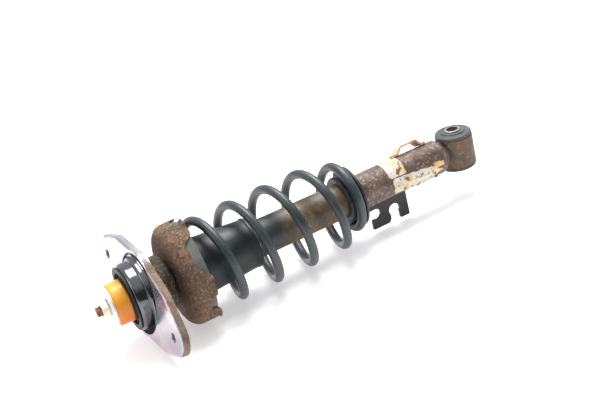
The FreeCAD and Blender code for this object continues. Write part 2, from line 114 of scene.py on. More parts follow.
# %% A grid of points becomes a mesh
def grid_piece(name, points, ring=True):
    """Rows x columns x 3 points become four-sided faces, each joining a point to its next ones.

    A ring's last row joins its first. Otherwise both ends get a lid.
    """
    rows, columns = points.shape[:2]
    index = np.arange(rows * columns).reshape(rows, columns)
    lids = [] if ring else [index[0, ::-1].tolist(), index[-1].tolist()]
    if ring:
        index = np.vstack([index, index[:1]])
    index = np.hstack([index, index[:, :1]])
    quads = np.stack([index[:-1, :-1], index[:-1, 1:], index[1:, 1:], index[1:, :-1]], -1)
    faces = quads.reshape(-1, 4).tolist() + lids
    mesh = bpy.data.meshes.new(name)
    mesh.from_pydata(points.reshape(-1, 3).tolist(), [], faces)
    mesh.polygons.foreach_set("use_smooth", np.full(len(faces), True))
    mesh.update()
    piece = bpy.data.objects.new(name, mesh)
    bpy.context.scene.collection.objects.link(piece)
    return piece


def face_outwards(piece):
    """Turn every face outwards: the volume under the faces, counted with its sign, has to be positive."""
    mesh = piece.data
    mesh.calc_loop_triangles()
    corners = np.empty(len(mesh.loop_triangles) * 3, np.int32)
    mesh.loop_triangles.foreach_get("vertices", corners)
    places = np.empty(len(mesh.vertices) * 3)
    mesh.vertices.foreach_get("co", places)
    a, b, c = np.moveaxis(places.reshape(-1, 3)[corners].reshape(-1, 3, 3), 1, 0)
    if (np.cross(a, b) * c).sum() < 0:
        mesh.flip_normals()
    return piece


# %% [markdown]
# A turned or pressed part has rounded corners, because sharp ones look false: they catch no light. So an
# outline is given by its corners, each with its own rounding, and the arcs are worked out.

# %% Outlines with rounded corners
ARC_STEP = 0.6


def rounded(corners, closed=True):
    """Points along an outline of (x, r, rounding) corners in mm, every arc cut into short steps."""
    points = []
    spots = [np.array(c[:2], float) for c in corners]
    count = len(corners)
    for i, here in enumerate(spots):
        radius = corners[i][2] if len(corners[i]) > 2 else 0
        at_end = not closed and i in (0, count - 1)
        if radius <= 0 or at_end:
            points.append(here)
            continue
        back = spots[i - 1] - here
        on = spots[(i + 1) % count] - here
        back = back / np.linalg.norm(back)
        on = on / np.linalg.norm(on)
        half = math.acos(float(np.clip(back @ on, -1, 1))) / 2
        middle = (back + on) / np.linalg.norm(back + on)
        centre = here + middle * (radius / math.sin(half))
        turn = math.pi - 2 * half
        side = -np.sign(back[0] * on[1] - back[1] * on[0])
        pieces = max(3, math.ceil(radius * turn / ARC_STEP))
        start = back * (radius / math.tan(half)) + here - centre
        for k in range(pieces + 1):
            a = side * turn * k / pieces
            turned_x = start[0] * math.cos(a) - start[1] * math.sin(a)
            turned_r = start[0] * math.sin(a) + start[1] * math.cos(a)
            points.append(centre + np.array([turned_x, turned_r]))
    return np.array(points)


def resampled(points, step):
    """The same closed outline with extra points, so that no two lie further apart than the step."""
    pieces = []
    for a, b in zip(points, np.roll(points, -1, axis=0)):
        count = max(1, math.ceil(np.linalg.norm(b - a) / step))
        pieces.append(a + (b - a) * (np.arange(count) / count)[:, None])
    return np.vstack(pieces)


def sheet_outline(path, thickness):
    """Closed outline of sheet metal that follows a path (x, r, bend), half its thickness on either side."""
    middle = rounded(path, closed=False)
    way = np.gradient(middle, axis=0)
    way /= np.linalg.norm(way, axis=1, keepdims=True)
    side = np.stack([-way[:, 1], way[:, 0]], -1) * thickness / 2
    return np.vstack([middle + side, (middle - side)[::-1]])


# %% [markdown]
# Old steel is never a clean curve: it has shallow dents and a crust. Waves of a few lengths, added up with
# random directions, make a cheap smooth unevenness that is the same on every run. A round part is then its
# outline carried round the axis, with the waves moving the surface in and out.

# %% Unevenness
def waves(places, length, count=14, seed=1):
    """Sum of sine waves through space, each with a random direction and start and about the same length.

    It is scaled so that three standard deviations are 1, so it seldom leaves -1 to 1.
    """
    rng = np.random.default_rng(seed)
    direction = rng.normal(size=(count, 3))
    direction /= np.linalg.norm(direction, axis=1, keepdims=True)
    scale = 2 * math.pi / (length * rng.uniform(0.7, 1.5, count))
    phase = rng.uniform(0, 2 * math.pi, count)
    steepness = (direction * scale[:, None]).T
    return np.sin(places @ steepness + phase).sum(-1) * math.sqrt(2 / count) / 3


def around(x, r, angle):
    """Points at station x on circles of radius r: y is r times the cosine, and z is r times the sine."""
    return np.stack([x, r * np.cos(angle), r * np.sin(angle)], -1)


# The crust's waves are five times shorter than the dents. A bump also leans a little along the axis.
CRUST_FINENESS, CRUST_WAVES, LENGTHWISE = 5, 20, 0.6


def lathe(name, outline, turns, dents=0.0, dent_length=20 * MM, crust=0.0, seed=1, edit=None):
    """Revolve a closed outline (x, r) in mm: each point keeps x and runs round a circle of radius r.

    Dents and a finer crust move the surface outwards by smooth waves, and a little along the axis too.
    edit(x, r, angle) may change the stations before they are placed.
    """
    angle = np.linspace(0, 2 * math.pi, turns, endpoint=False)
    x, a = np.meshgrid(outline[:, 0] * MM, angle, indexing="ij")
    r = np.repeat(outline[:, 1:] * MM, turns, axis=1)
    if edit is not None:
        x, r = edit(x, r, a)
    places = around(x, r, a)
    if dents or crust:
        fine = waves(places, dent_length / CRUST_FINENESS, CRUST_WAVES, seed + 1)
        bump = dents * waves(places, dent_length, seed=seed) + crust * fine
        places = around(x + LENGTHWISE * bump, r + bump, a)
    return face_outwards(grid_piece(name, places))


trial = np.random.default_rng(0).uniform(0, 1, (500, 3))
print("waves reach", round(float(waves(trial, 0.1).max()), 2))


# %% [markdown]
# ## A small language for shaders
# A material is a graph of nodes. Wiring it by hand hides the sum it stands for, so a socket is wrapped in a
# class that knows plus, minus and times, and one method makes any other node.

# %% Sums on sockets
class Value:
    """A number that varies over a surface, kept as the socket that gives it."""

    def __init__(self, finish, socket):
        self.finish, self.socket = finish, socket

    def _sum(self, operation, a, b):
        return self.finish.node("ShaderNodeMath", {"operation": operation}, {0: a, 1: b})

    def __add__(self, other):
        return self._sum("ADD", self, other)

    def __radd__(self, other):
        return self._sum("ADD", other, self)

    def __sub__(self, other):
        return self._sum("SUBTRACT", self, other)

    def __rsub__(self, other):
        return self._sum("SUBTRACT", other, self)

    def __mul__(self, other):
        return self._sum("MULTIPLY", self, other)

    def __rmul__(self, other):
        return self._sum("MULTIPLY", other, self)


# %% [markdown]
# A finish is one material. Its methods are the few patterns that worn parts need: clouds, soft spots,
# scattered points, a slope along an axis, a mix of two colours and a bump. All of them read the object's
# own coordinates, so a pattern keeps its real size and stays on the piece when the piece moves.

# %% One material
MIX_FACTOR, MIX_FIRST, MIX_SECOND, MIX_COLOUR_OUT = 0, 6, 7, 2


class Finish:
    """One material: makes its nodes, and ends in a Principled shader."""

    def __init__(self, name, family=bpy.data.materials):
        self.material = family.new(name)
        self.material.use_nodes = True
        self.tree = self.material.node_tree
        self.tree.nodes.clear()
        self.place = self.node("ShaderNodeTexCoord", {}, {}, "Object")

    def node(self, kind, settings, sockets, output=0):
        """Make a node: its settings first, then the values or links of its sockets."""
        made = self.tree.nodes.new(kind)
        for key, setting in settings.items():
            if key == "stops":
                self._stops(made.color_ramp, setting)
            else:
                setattr(made, key, setting)
        for key, given in sockets.items():
            if isinstance(given, Value):
                self.tree.links.new(given.socket, made.inputs[key])
            else:
                made.inputs[key].default_value = given
        return Value(self, made.outputs[output])

    @staticmethod
    def _stops(ramp, stops):
        """Set a ramp's grey stops; a new ramp already has two."""
        for i, (position, level) in enumerate(stops):
            stop = ramp.elements[i] if i < 2 else ramp.elements.new(position)
            stop.position = position
            stop.color = (level, level, level, 1)

    def noise(self, scale, detail=4.0, roughness=0.55, stretch=(1, 1, 1)):
        """Cloudy pattern about the middle grey; scale is in blotches per metre."""
        where = self.node("ShaderNodeMapping", {}, {"Vector": self.place, "Scale": stretch})
        sockets = {"Vector": where, "Scale": scale, "Detail": detail, "Roughness": roughness}
        return self.node("ShaderNodeTexNoise", {}, sockets, "Fac")

    def spots(self, scale, low, high):
        """1 where a noise is high, 0 where it is low, with a soft edge between."""
        return self.steps(self.noise(scale), [(low, 0), (high, 1)])

    def cells(self, scale):
        """Distance to the nearest of many scattered points, for pits and specks."""
        return self.node("ShaderNodeTexVoronoi", {}, {"Vector": self.place, "Scale": scale}, "Distance")

    def steps(self, value, stops):
        """Read a value through a ramp of (position, level) stops."""
        return self.node("ShaderNodeValToRGB", {"stops": stops}, {0: value})

    def slope(self, value, low, high):
        """0 where the value is at low, 1 where it is at high, and a straight line between."""
        return self.node("ShaderNodeMapRange", {}, {"Value": value, "From Min": low, "From Max": high})

    def along(self, axis):
        """One of the three object coordinates, in metres."""
        return self.node("ShaderNodeSeparateXYZ", {}, {0: self.place}, axis)

    def mix(self, factor, a, b):
        """Colour a where the factor is 0 and b where it is 1."""
        sockets = {MIX_FACTOR: factor, MIX_FIRST: paint(a), MIX_SECOND: paint(b)}
        return self.node("ShaderNodeMix", {"data_type": "RGBA"}, sockets, MIX_COLOUR_OUT)

    def bump(self, height, distance):
        """Normal of a surface raised by height times distance, in metres."""
        return self.node("ShaderNodeBump", {}, {"Height": height, "Distance": distance})

    def done(self, **sockets):
        """Close the material with a Principled shader; socket names are written with underscores."""
        plain = {key.replace("_", " "): paint(given) if key == "Base_Color" else given
                 for key, given in sockets.items()}
        self.close(self.node("ShaderNodeBsdfPrincipled", {}, plain), "ShaderNodeOutputMaterial")
        return self.material

    def close(self, shader, kind):
        """Link the last shader to the output."""
        self.tree.links.new(shader.socket, self.tree.nodes.new(kind).inputs["Surface"])


def paint(colour):
    """A colour written as three numbers gets its alpha."""
    return colour if isinstance(colour, Value) else (*colour[:3], 1.0)


# %% [markdown]
# ## Finishes
# The strut has lived under a car. Its pressed steel is rusty and matt, the spring still has its satin
# coating, the mount's can is dark, smooth and glossy, and rubber and plastic are dusty. Each finish below
# is a few blotches of different size over one base colour, and the roughness often follows them. A fine
# bump, down to a tenth of a millimetre, gives the grain.

# %% Rusty pressed steel
def rust(name, dark, brown, orange, dust):
    """Brown steel with orange blooms, dark remnants of paint and pale dusty specks."""
    f = Finish(name)
    blotch = f.spots(38, 0.42, 0.60)
    bloom = f.spots(75, 0.50, 0.66)
    crumbs = f.noise(420, 6, 0.7)
    colour = f.mix(blotch, brown, dark)
    colour = f.mix(bloom * 0.75, colour, orange)
    colour = f.mix(f.steps(f.noise(380, 6, 0.75), [(0.52, 0), (0.66, 0.8)]), colour, dust)
    colour = f.mix(f.steps(crumbs, [(0.38, 0.55), (0.52, 0)]), colour, dark)
    height = crumbs * 0.6 + f.noise(110, 5, 0.6)
    return f.done(Base_Color=colour, Roughness=0.86, Metallic=0.15 * (1 - blotch),
                  Normal=f.bump(height, 0.0009))


seat_rust = rust("seat_rust", (0.070, 0.046, 0.030), (0.200, 0.122, 0.076), (0.34, 0.150, 0.070),
                 (0.52, 0.40, 0.28))
# The neck cup gets a darker copy of the seat's rust: painted shade of its place between plate and seat, over
# real rust.
neck_rust_painted_shade = rust("neck_rust_painted_shade", (0.030, 0.025, 0.020), (0.115, 0.088, 0.062), (0.18, 0.125, 0.08),
                 (0.42, 0.36, 0.28))
clip_rust = rust("clip_rust", (0.45, 0.24, 0.12), (0.80, 0.55, 0.36), (0.90, 0.70, 0.52),
                 (0.95, 0.86, 0.74))
print("rust finishes made")


# %% [markdown]
# The damper tube is black near the dust tube, olive-brown under the coils, and purple-brown and pitted at
# its foot. The station along the rod is an object coordinate, so a slope over it can lead from one colour to
# the next. The eye is barer and has upright scratches, which are a noise stretched along Z.

# %% Tube and eye steel
def tube_steel():
    """Black paint near the boot, then olive-brown, then a pitted purple-brown foot with pale specks as painted
    glints.
    """
    f = Finish("tube_steel")
    station = f.along("X")
    worn = f.slope(station + 0.030 * (f.noise(40) - 0.5), 0.160, 0.176)
    foot = f.slope(station, 0.252, 0.262)
    olive = f.mix(f.spots(45, 0.40, 0.62), (0.082, 0.062, 0.036), (0.175, 0.118, 0.062))
    brown = f.mix(f.spots(60, 0.40, 0.62), (0.092, 0.054, 0.039), (0.180, 0.112, 0.080))
    # Pale specks on the foot are painted glints: sparkles of light drawn into the colour.
    brown = f.mix(f.spots(260, 0.54, 0.66) * 0.75, brown, (0.40, 0.31, 0.27))
    colour = f.mix(foot, f.mix(f.spots(190, 0.54, 0.68) * 0.5, olive, (0.30, 0.20, 0.12)), brown)
    colour = f.mix(1 - worn, colour, (0.020, 0.026, 0.027))
    pits = f.steps(f.cells(330), [(0.14, 1), (0.28, 0)]) * f.spots(45, 0.50, 0.62) * worn
    colour = f.mix(pits * 0.8, colour, (0.030, 0.022, 0.018))
    crumbs = f.noise(330, 5, 0.65)
    height = crumbs * (0.25 + 0.9 * foot) - pits
    return f.done(Base_Color=colour, Roughness=0.42 + 0.2 * f.noise(90) - 0.08 * foot, Metallic=0.2 * worn,
                  Specular_IOR_Level=0.7, Normal=f.bump(height, 0.0009))


def eye_steel():
    """Bare olive-brown steel, a little worn, with upright scratches and orange patches of rust."""
    f = Finish("eye_steel")
    streaks = f.noise(120, 5, 0.6, (1, 1, 0.25))
    colour = f.mix(f.steps(streaks, [(0.35, 0), (0.68, 1)]), (0.046, 0.035, 0.023), (0.132, 0.090, 0.057))
    colour = f.mix(f.spots(240, 0.56, 0.68) * 0.6, colour, (0.30, 0.24, 0.18))
    colour = f.mix(f.spots(62, 0.52, 0.62) * 0.7, colour, (0.185, 0.085, 0.036))
    return f.done(Base_Color=colour, Roughness=0.42 + 0.25 * streaks, Metallic=0.2, Specular_IOR_Level=0.6,
                  Normal=f.bump(streaks * 0.5 + f.noise(420, 4), 0.0005))


tube_finish = tube_steel()
eye_finish = eye_steel()
print("tube and eye finishes made")


# %% [markdown]
# The spring's coating is satin: a soft highlight runs along the top of every coil. It is a little dusty and
# rubbed, which roughens and lightens the grey. The top plate is two finishes in one: bright, faintly lilac
# plating on the face that leans towards the rod's tip, with pink patches that are painted reflections, and
# rust on its edge and back. A sum of the coordinates says how far a point lies behind the leaning face, and
# that decides between the two. The edge of the ear at the top keeps its bright plating: a painted highlight on
# the side that faces up.

# %% Spring coating, dark can, two-sided plate and plain blacks
def coating():
    """Satin blue-grey powder coat with a dusty bloom and small chips."""
    f = Finish("spring_coat")
    bloom = f.noise(55, 5, 0.6)
    chips = f.steps(f.noise(520, 3, 0.5), [(0.68, 0), (0.72, 1)]) * f.spots(40, 0.50, 0.60)
    colour = f.mix(f.steps(bloom, [(0.35, 0), (0.65, 1)]), (0.020, 0.030, 0.034), (0.042, 0.056, 0.062))
    colour = f.mix(chips, colour, (0.22, 0.17, 0.13))
    return f.done(Base_Color=colour, Roughness=0.36 + 0.16 * bloom, Specular_IOR_Level=0.5, Coat_Weight=0.3,
                  Coat_Roughness=0.34, Normal=f.bump(f.noise(700, 3), 0.00012))


def can_plate():
    """Smooth dark plating with a faint warm stain, a few specks and a slow wave in its reflections."""
    f = Finish("can_plating")
    stain = f.spots(34, 0.52, 0.70)
    colour = f.mix(stain * 0.5, (0.150, 0.160, 0.168), (0.150, 0.138, 0.121))
    colour = f.mix(f.spots(320, 0.64, 0.72) * 0.6, colour, (0.12, 0.09, 0.07))
    return f.done(Base_Color=colour, Roughness=0.15 + 0.12 * stain, Metallic=0.9,
                  Normal=f.bump(f.noise(45, 2), 0.0006))


# The plate's face leans: this is how far it lies back for each metre along Y and along Z.
PLATE_LEAN = (-0.06, 0.175)


def plate_finish():
    """Bright plating with painted pink reflections on the leaning face, rust behind it; how far a point lies
    behind the face decides. The top ear's edge keeps its plating as a painted highlight.
    """
    f = Finish("plate_finish")
    behind = f.along("X") - PLATE_LEAN[0] * f.along("Y") - PLATE_LEAN[1] * f.along("Z")
    flat = f.node("ShaderNodeMapping", {}, {"Vector": f.place, "Scale": (0, 1, 1)})
    from_axis = f.node("ShaderNodeVectorMath", {"operation": "LENGTH"}, {0: flat}, "Value")
    edge = f.slope(behind + 0.0012 * (f.noise(160) - 0.5), 0.0006, 0.0014)
    outside_can = f.slope(from_axis, 0.0435, 0.0441)
    # The ear at the top keeps its plating instead of rust. This is painted light: its upward edge is drawn
    # bright.
    painted_bright_top_ear = f.slope(f.along("Z"), 0.036, 0.046)
    rusty = edge * outside_can * (1 - 0.85 * painted_bright_top_ear)
    crumbs = f.noise(420, 6, 0.7)
    brown = f.mix(f.spots(60, 0.40, 0.62), (0.215, 0.165, 0.120), (0.36, 0.265, 0.185))
    brown = f.mix(f.steps(crumbs, [(0.40, 0.6), (0.55, 0)]), brown, (0.10, 0.075, 0.055))
    stain = f.spots(33, 0.58, 0.66)
    face = f.mix(f.spots(24, 0.44, 0.62), (0.46, 0.43, 0.485), (0.64, 0.62, 0.66))
    # Pink patches on the face are painted reflections.
    face = f.mix(f.spots(41, 0.54, 0.62) * 0.75, face, (0.66, 0.43, 0.52))
    face = f.mix(stain * 0.7, face, (0.76, 0.60, 0.40))
    face = f.mix(f.spots(300, 0.64, 0.72) * 0.5, face, (0.25, 0.18, 0.14))
    return f.done(Base_Color=f.mix(rusty, face, brown), Roughness=0.22 + 0.08 * stain + 0.6 * rusty,
                  Metallic=0.85 - 0.8 * rusty, Normal=f.bump(crumbs * rusty, 0.0009))


DUST_LIGHTER = 0.11


def black(name, base, rough, dust):
    """Rubber or plastic: a dark base, lightened in soft patches by as much as dust says."""
    f = Finish(name)
    dusty = f.spots(70, 0.42, 0.68)
    colour = f.mix(dusty * dust, base, tuple(c + DUST_LIGHTER for c in base))
    return f.done(Base_Color=colour, Roughness=rough + 0.1 * dusty, Normal=f.bump(f.noise(600, 4), 0.00015))


spring_coat = coating()
can_plating = can_plate()
plate_coat = plate_finish()
boot_plastic = black("boot_plastic", (0.009, 0.015, 0.016), 0.42, 0.15)
seal_rubber = black("seal_rubber", (0.003, 0.003, 0.003), 0.5, 0.02)
pad_rubber = black("pad_rubber", (0.125, 0.128, 0.118), 0.75, 0.6)
eye_rubber = black("eye_rubber", (0.055, 0.064, 0.060), 0.40, 0.5)
seat_rubber = black("seat_rubber", (0.020, 0.027, 0.026), 0.45, 0.4)
bracket_plate = black("bracket_plate", (0.012, 0.011, 0.010), 0.42, 0.25)
print("smooth finishes made")


# %% [markdown]
# The bush is cast polyurethane, which lets a little light in. That is subsurface scattering, and it makes
# the side away from the light glow instead of going grey. The washer and nut above it are pale zinc plating.
# The other finishes here are the foam, the stained label paper, and turned and ground steel.

# %% Orange bush, zinc, foam, paper and steel
def urethane():
    """Honey-orange casting resin with a cloudy depth, painted yellower towards the top as if lit from above.
    """
    f = Finish("urethane")
    cloud = f.noise(48, 3, 0.5)
    # Painted light: the colour turns yellower with height, so the top is drawn as lit. The cloud adds real
    # depth.
    high = f.slope(f.along("Z"), -0.018, 0.022)
    painted_light_and_cloud = f.steps(high * 0.8 + cloud * 0.3, [(0.25, 0), (0.95, 1)])
    colour = f.mix(painted_light_and_cloud, (0.98, 0.20, 0.004), (1.0, 0.50, 0.040))
    return f.done(Base_Color=colour, Roughness=0.38, Subsurface_Weight=0.2,
                  Subsurface_Radius=(0.006, 0.003, 0.001), Subsurface_Scale=0.6, Coat_Weight=0.2,
                  Normal=f.bump(f.noise(90, 3), 0.0004))


def zinc():
    """Pale yellowish plating, dulled in patches."""
    f = Finish("zinc")
    dull = f.spots(110, 0.45, 0.65)
    colour = f.mix(dull * 0.5, (0.86, 0.82, 0.70), (0.68, 0.60, 0.46))
    return f.done(Base_Color=colour, Roughness=0.34 + 0.2 * dull, Metallic=0.45,
                  Normal=f.bump(f.noise(350), 0.0002))


def foam():
    """Yellowish foam, fine-grained and matt."""
    f = Finish("stop_foam")
    colour = f.mix(f.noise(500, 4), (0.62, 0.54, 0.33), (0.78, 0.70, 0.47))
    return f.done(Base_Color=colour, Roughness=0.9, Normal=f.bump(f.noise(900, 4), 0.0004))


def paper(name, sheet, yellow):
    """Stained label paper: pale, with yellow patches and brown wear."""
    f = Finish(name)
    colour = f.mix(f.spots(42, 0.49, 0.60), sheet, yellow)
    colour = f.mix(f.spots(120, 0.54, 0.62) * 0.8, colour, (0.88, 0.86, 0.80))
    colour = f.mix(f.spots(105, 0.55, 0.60), colour, (0.20, 0.115, 0.06))
    colour = f.mix(f.spots(330, 0.60, 0.68) * 0.8, colour, (0.14, 0.09, 0.05))
    return f.done(Base_Color=colour, Roughness=0.7, Normal=f.bump(f.noise(240, 5), 0.0005))


def steel(name, base, rough, metallic=1.0, rusty=0.0):
    """Turned or ground steel, with as much brown on it as rusty says."""
    f = Finish(name)
    brown = f.spots(160, 0.40, 0.62) * rusty
    colour = f.mix(brown, base, (0.24, 0.13, 0.075))
    return f.done(Base_Color=colour, Roughness=rough + 0.35 * brown, Metallic=metallic,
                  Normal=f.bump(f.noise(500, 4), 0.0002))


def rod_steel():
    """Bright ground rod whose threaded tip has rusted red."""
    f = Finish("rod_steel")
    tip = f.slope(f.along("X"), -0.036, -0.042)
    rusty = f.mix(f.spots(160, 0.40, 0.62), (0.13, 0.050, 0.028), (0.36, 0.145, 0.078))
    return f.done(Base_Color=f.mix(tip, (0.55, 0.55, 0.55), rusty), Roughness=0.2 + 0.6 * tip,
                  Metallic=1 - 0.9 * tip, Normal=f.bump(f.noise(500, 4) * tip, 0.0006))


urethane_finish = urethane()
zinc_finish = zinc()
foam_finish = foam()
rod_finish = rod_steel()
paper_finish = paper("label_paper", (0.78, 0.72, 0.62), (0.74, 0.50, 0.20))
scrap_finish = paper("label_scrap", (0.84, 0.58, 0.26), (0.80, 0.36, 0.09))
plain_steel = steel("plain_steel", (0.52, 0.51, 0.50), 0.34)
sleeve_steel = steel("sleeve_steel", (0.50, 0.49, 0.46), 0.36, 0.9, 0.25)
print("materials:", len(bpy.data.materials))


# %% [markdown]
# ## The CAD parts that stay
# Flat or hidden parts already have their true shape, so they only need a finish. The parts that a finer
# surface will replace get one as well, so that no part is ever without.

# %% Finish for every CAD part
PART_FINISH = {
    "piston_rod": rod_finish, "piston": plain_steel, "piston_band": seal_rubber,
    "valve_shims": plain_steel, "piston_nut": plain_steel, "rebound_stop": seal_rubber,
    "rod_nut": zinc_finish, "top_washer": zinc_finish,
    "upper_bush": urethane_finish, "support_washer": seal_rubber, "mount_core": plain_steel,
    "mount_can": can_plating, "face_seal": seal_rubber, "top_plate": plate_coat, "neck_cup": neck_rust_painted_shade,
    "mount_rubber": seal_rubber, "upper_spring_seat": seat_rust, "upper_spring_pad": pad_rubber,
    "bump_stop_cup": plain_steel, "bump_stop": foam_finish, "dust_tube": boot_plastic,
    "coil_spring": spring_coat, "outer_tube": tube_finish, "tube_cap": plain_steel, "oil_seal": seal_rubber,
    "rod_guide": plain_steel, "inner_cylinder": plain_steel, "base_valve": plain_steel,
    "tube_end_cap": tube_finish, "lower_spring_seat": spring_coat, "lower_spring_pad": seat_rubber,
    "hose_bracket": bracket_plate, "line_clip": clip_rust, "label_upper": paper_finish,
    "label_lower": paper_finish, "eye_ring": eye_finish, "eye_bush": eye_rubber, "eye_sleeve": sleeve_steel,
}
for name, node in nodes.items():
    node.data.materials.clear()
    node.data.materials.append(PART_FINISH[name])
print("finished parts:", len(PART_FINISH))


# %% [markdown]
# A finer surface has to move as its CAD part did. So every new piece gets its finish and the body it rides on
# at once, and the CAD parts it stands for disappear from view.


def fit(piece, finish, body, replaced=()):
    """Give a piece its finish, let it ride on a body and hide the CAD parts it stands for.
    """
    piece.data.materials.append(finish)
    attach(piece, body)
    for node in replaced:
        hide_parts(node)
    print(piece.name, "faces:", len(piece.data.polygons))
    return piece


# %% [markdown]
# ## The coil spring
# The wire is a circle carried along a coil. The coil is open in the middle and closes on itself at both
# ends, and it narrows there, most of all at the foot, so its pitch and radius both change with the number of
# turns.

# %% Coil spring
COIL_START, COIL_START_ANGLE = 78.0, math.radians(62)
COIL_PITCH, CLOSED_PITCH, FOOT_PITCH = 42.7, 10.4, 5.0
FIRST_TURN, FIRST_OPEN, LAST_OPEN, LAST_TURN = -1.5, -0.5, 3.97, 4.67
PITCH_BLEND = np.array([-0.05, -0.02, 0.02, 0.05])
WIRE_R, COIL_R = 5.1, 46.5
FIRST_COIL_R, LAST_COIL_R = 44.3, 33.0
# The turn where the coil starts to narrow towards each end, and how many turns that takes.
HEAD_NARROWS, HEAD_EASE = 0.1, 0.6
FOOT_NARROWS, FOOT_EASE = 3.2, 1.5
WIRE_STEPS = 1100


def ease(t):
    """0 below 0, 1 above 1, and 3t^2 - 2t^3 between, which starts and ends level."""
    t = np.clip(t, 0, 1)
    return t * t * (3 - 2 * t)


def sweep(name, line, radius, sides=24, closed=False):
    """Carry a circle along a line: each point plus radius times cosine and sine of two cross directions.

    The first cross direction points away from the X axis, and the second is square to it and to the line.
    """
    way = np.roll(line, -1, 0) - np.roll(line, 1, 0) if closed else np.gradient(line, axis=0)
    way /= np.linalg.norm(way, axis=1, keepdims=True)
    out = line * (0, 1, 1)
    out = out - (out * way).sum(1, keepdims=True) * way
    out /= np.linalg.norm(out, axis=1, keepdims=True)
    over = np.cross(way, out)
    a = np.linspace(0, 2 * math.pi, sides, endpoint=False)[None, :, None]
    size = np.broadcast_to(np.asarray(radius, float), (len(line),))[:, None, None]
    points = line[:, None] + size * (np.cos(a) * out[:, None] + np.sin(a) * over[:, None])
    return face_outwards(grid_piece(name, points, ring=closed))


def coil_line(turns):
    """Centre of the wire: a helix whose pitch drops and whose radius shrinks at both ends.

    Each stretch of turns adds its own pitch. A mean of four slightly shifted counts rounds the change.
    """
    shifted = turns[:, None] + PITCH_BLEND
    closed = np.minimum(shifted - FIRST_OPEN, 0).mean(1)
    foot = np.maximum(shifted - LAST_OPEN, 0).mean(1)
    x = COIL_START + COIL_PITCH * (turns - closed - foot) + CLOSED_PITCH * closed + FOOT_PITCH * foot
    r = COIL_R - (COIL_R - FIRST_COIL_R) * ease((HEAD_NARROWS - turns) / HEAD_EASE)
    r = r - (COIL_R - LAST_COIL_R) * ease((turns - FOOT_NARROWS) / FOOT_EASE)
    return around(x, r, COIL_START_ANGLE + 2 * math.pi * turns) * MM


spring = sweep("spring_wire", coil_line(np.linspace(FIRST_TURN, LAST_TURN, WIRE_STEPS)), WIRE_R * MM)
fit(spring, spring_coat, "damper_body", ["coil_spring"])
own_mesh(spring)


# %% [markdown]
# ## The bump stop
# A foam stop hides in the dust tube. It is a turned shape with two waists, and it is squeezed against the
# damper's cap at the end of the stroke.

# %% Bump stop
stop_start, stop_end = span("bump_stop")[:2]
head, nose = stop_start / MM, stop_end / MM
STOP_BORE, STOP_HEAD_R, STOP_KEEP = 6.8, 20.5, 0.42
stop_outline = rounded([(head, STOP_BORE), (head, STOP_HEAD_R, 2), (head + 14, STOP_HEAD_R, 2),
                        (head + 17, 16, 1.5), (head + 20, 19, 2), (head + 26, 19, 2),
                        (head + 29, 14, 1.5), (head + 32, 16, 2), (nose, 14, 3), (nose, STOP_BORE)])
stop = fit(lathe("foam_stop", resampled(stop_outline, 2.0), 96), foam_finish, "upper_set", ["bump_stop"])
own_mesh(stop)


# %% [markdown]
# ## The upper spring seat
# This pressed cup is the rustiest piece. Its rim has three wide notches, three narrow slots and three small
# lips turned outwards. All of them are made by moving points: where a notch is, the rim's station is drawn
# back and the last stretch of the wall is squeezed to suit, and a lip moves the last few millimetres out.

# %% Upper spring seat
SEAT_SHEET, SEAT_BEND, SEAT_BORE, SEAT_R = 2.5, 11.0, 10.2, 54.5
RIM = seat_end / MM
BAND, WALL_R = 15.0, 40.0
THIRD = 120
# Each notch, slot and lip has its middle, width and softness in degrees, and then its sizes in mm.
NOTCH, NOTCH_DEPTH = (141, 40, 16), 12.0
SLOT, SLOT_DEPTH = (200, 17, 5), 9.0
LIP, LIP_OUT, LIP_LENGTH, LIP_BEND = (217, 13, 4), 4.0, 4.5, 3.5


def window(angle, centre, width, soft):
    """1 inside a stretch of angle, repeated three times round, falling to 0 over the soft degrees."""
    off = (np.degrees(angle) - centre + THIRD / 2) % THIRD - THIRD / 2
    return ease((width / 2 + soft / 2 - np.abs(off)) / soft)


def notched(x, r, a):
    """Draw the rim back in the notches, by squeezing the last band of the wall, and turn the lips out."""
    back = np.maximum(NOTCH_DEPTH * window(a, *NOTCH), SLOT_DEPTH * window(a, *SLOT)) * MM
    start = (RIM - BAND) * MM
    share = np.clip((x - start) / (BAND * MM), 0, 1)
    lip = window(a, *LIP) * ease((x - (RIM - LIP_LENGTH) * MM) / (LIP_BEND * MM))
    return x - back * share, r + LIP_OUT * MM * lip * (r > WALL_R * MM)


seat_floor = seat_start / MM + SEAT_SHEET / 2
seat_path = [(seat_floor, SEAT_BORE), (seat_floor, SEAT_R, SEAT_BEND), (RIM, SEAT_R)]
seat_outline = resampled(sheet_outline(seat_path, SEAT_SHEET), 1.5)
seat = lathe("rusty_seat", seat_outline, 720, dents=0.30 * MM, dent_length=26 * MM, crust=0.10 * MM,
             seed=5, edit=notched)
fit(seat, seat_rust, "upper_set", ["upper_spring_seat"])


# %% [markdown]
# ## The cup under the plate, its rubber and the damper tube
# The cup and the tube are plain round parts with a crust of rust. The crust is real unevenness in the mesh,
# a tenth of a millimetre high, so the outline is not a clean curve either. The rubber inside the cup has a
# bore that widens towards both ends, which is what leaves the steel core room to tilt. The widening is the
# tangent of the tilt times half the rubber's length, and a little more.

